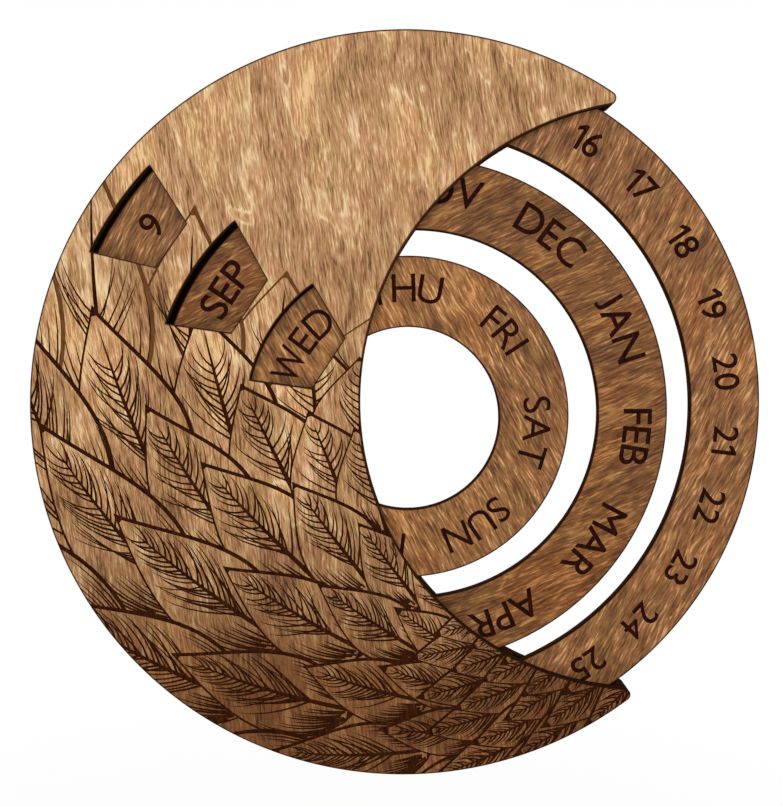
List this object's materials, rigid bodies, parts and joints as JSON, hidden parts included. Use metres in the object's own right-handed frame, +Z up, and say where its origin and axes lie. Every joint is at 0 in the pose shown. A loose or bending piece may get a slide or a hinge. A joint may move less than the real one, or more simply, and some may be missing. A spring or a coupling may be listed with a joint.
{
  "type": "perpetual wall calendar",
  "caption": "Flat plywood crescent with windows that frame the day, month and weekday on dials turned by hand behind it, for hanging on a wall pin.",
  "frame": {"origin": "hanging point: top edge of the hanging slot's middle notch, in the rear face of the back plate", "axes": "+Z up, +Y into the wall, square to the faces; the front of the calendar looks along -Y; +X to the viewer's right"},
  "size_m": [0.2841, 0.0102, 0.29],
  "materials": {
    "cover_wood": "golden stain, satin, burnt engraved lines and burnt laser-cut edges",
    "ring_wood": "darker brown stain, satin, burnt engraved lettering and burnt laser-cut edges",
    "guide_wood": "stained, with burnt laser-cut edges",
    "back_wood": "plain stained birch plywood, matt"
  },
  "bodies": {
    "crescent": {"front_cover": "cover_wood", "back_plate": "back_wood", "rim_guide": "guide_wood", "date_month_guide": "guide_wood", "month_weekday_guide": "guide_wood", "core_guide": "guide_wood"},
    "date_dial": {"date_ring": "ring_wood"},
    "month_dial": {"month_ring": "ring_wood"},
    "weekday_dial": {"weekday_ring": "ring_wood"}
  },
  "joints": [
    {"name": "date_ring_turn", "type": "hinge", "parent": "crescent", "child": "date_dial", "pos_m": [0.03261, -0.0051, -0.1234], "axis": [0, -1, 0], "continuous": true},
    {"name": "month_ring_turn", "type": "hinge", "parent": "crescent", "child": "month_dial", "pos_m": [0.03261, -0.0051, -0.1246], "axis": [0, -1, 0], "continuous": true},
    {"name": "weekday_ring_turn", "type": "hinge", "parent": "crescent", "child": "weekday_dial", "pos_m": [0.03021, -0.0051, -0.12529], "axis": [0, -1, 0], "continuous": true}
  ]
}
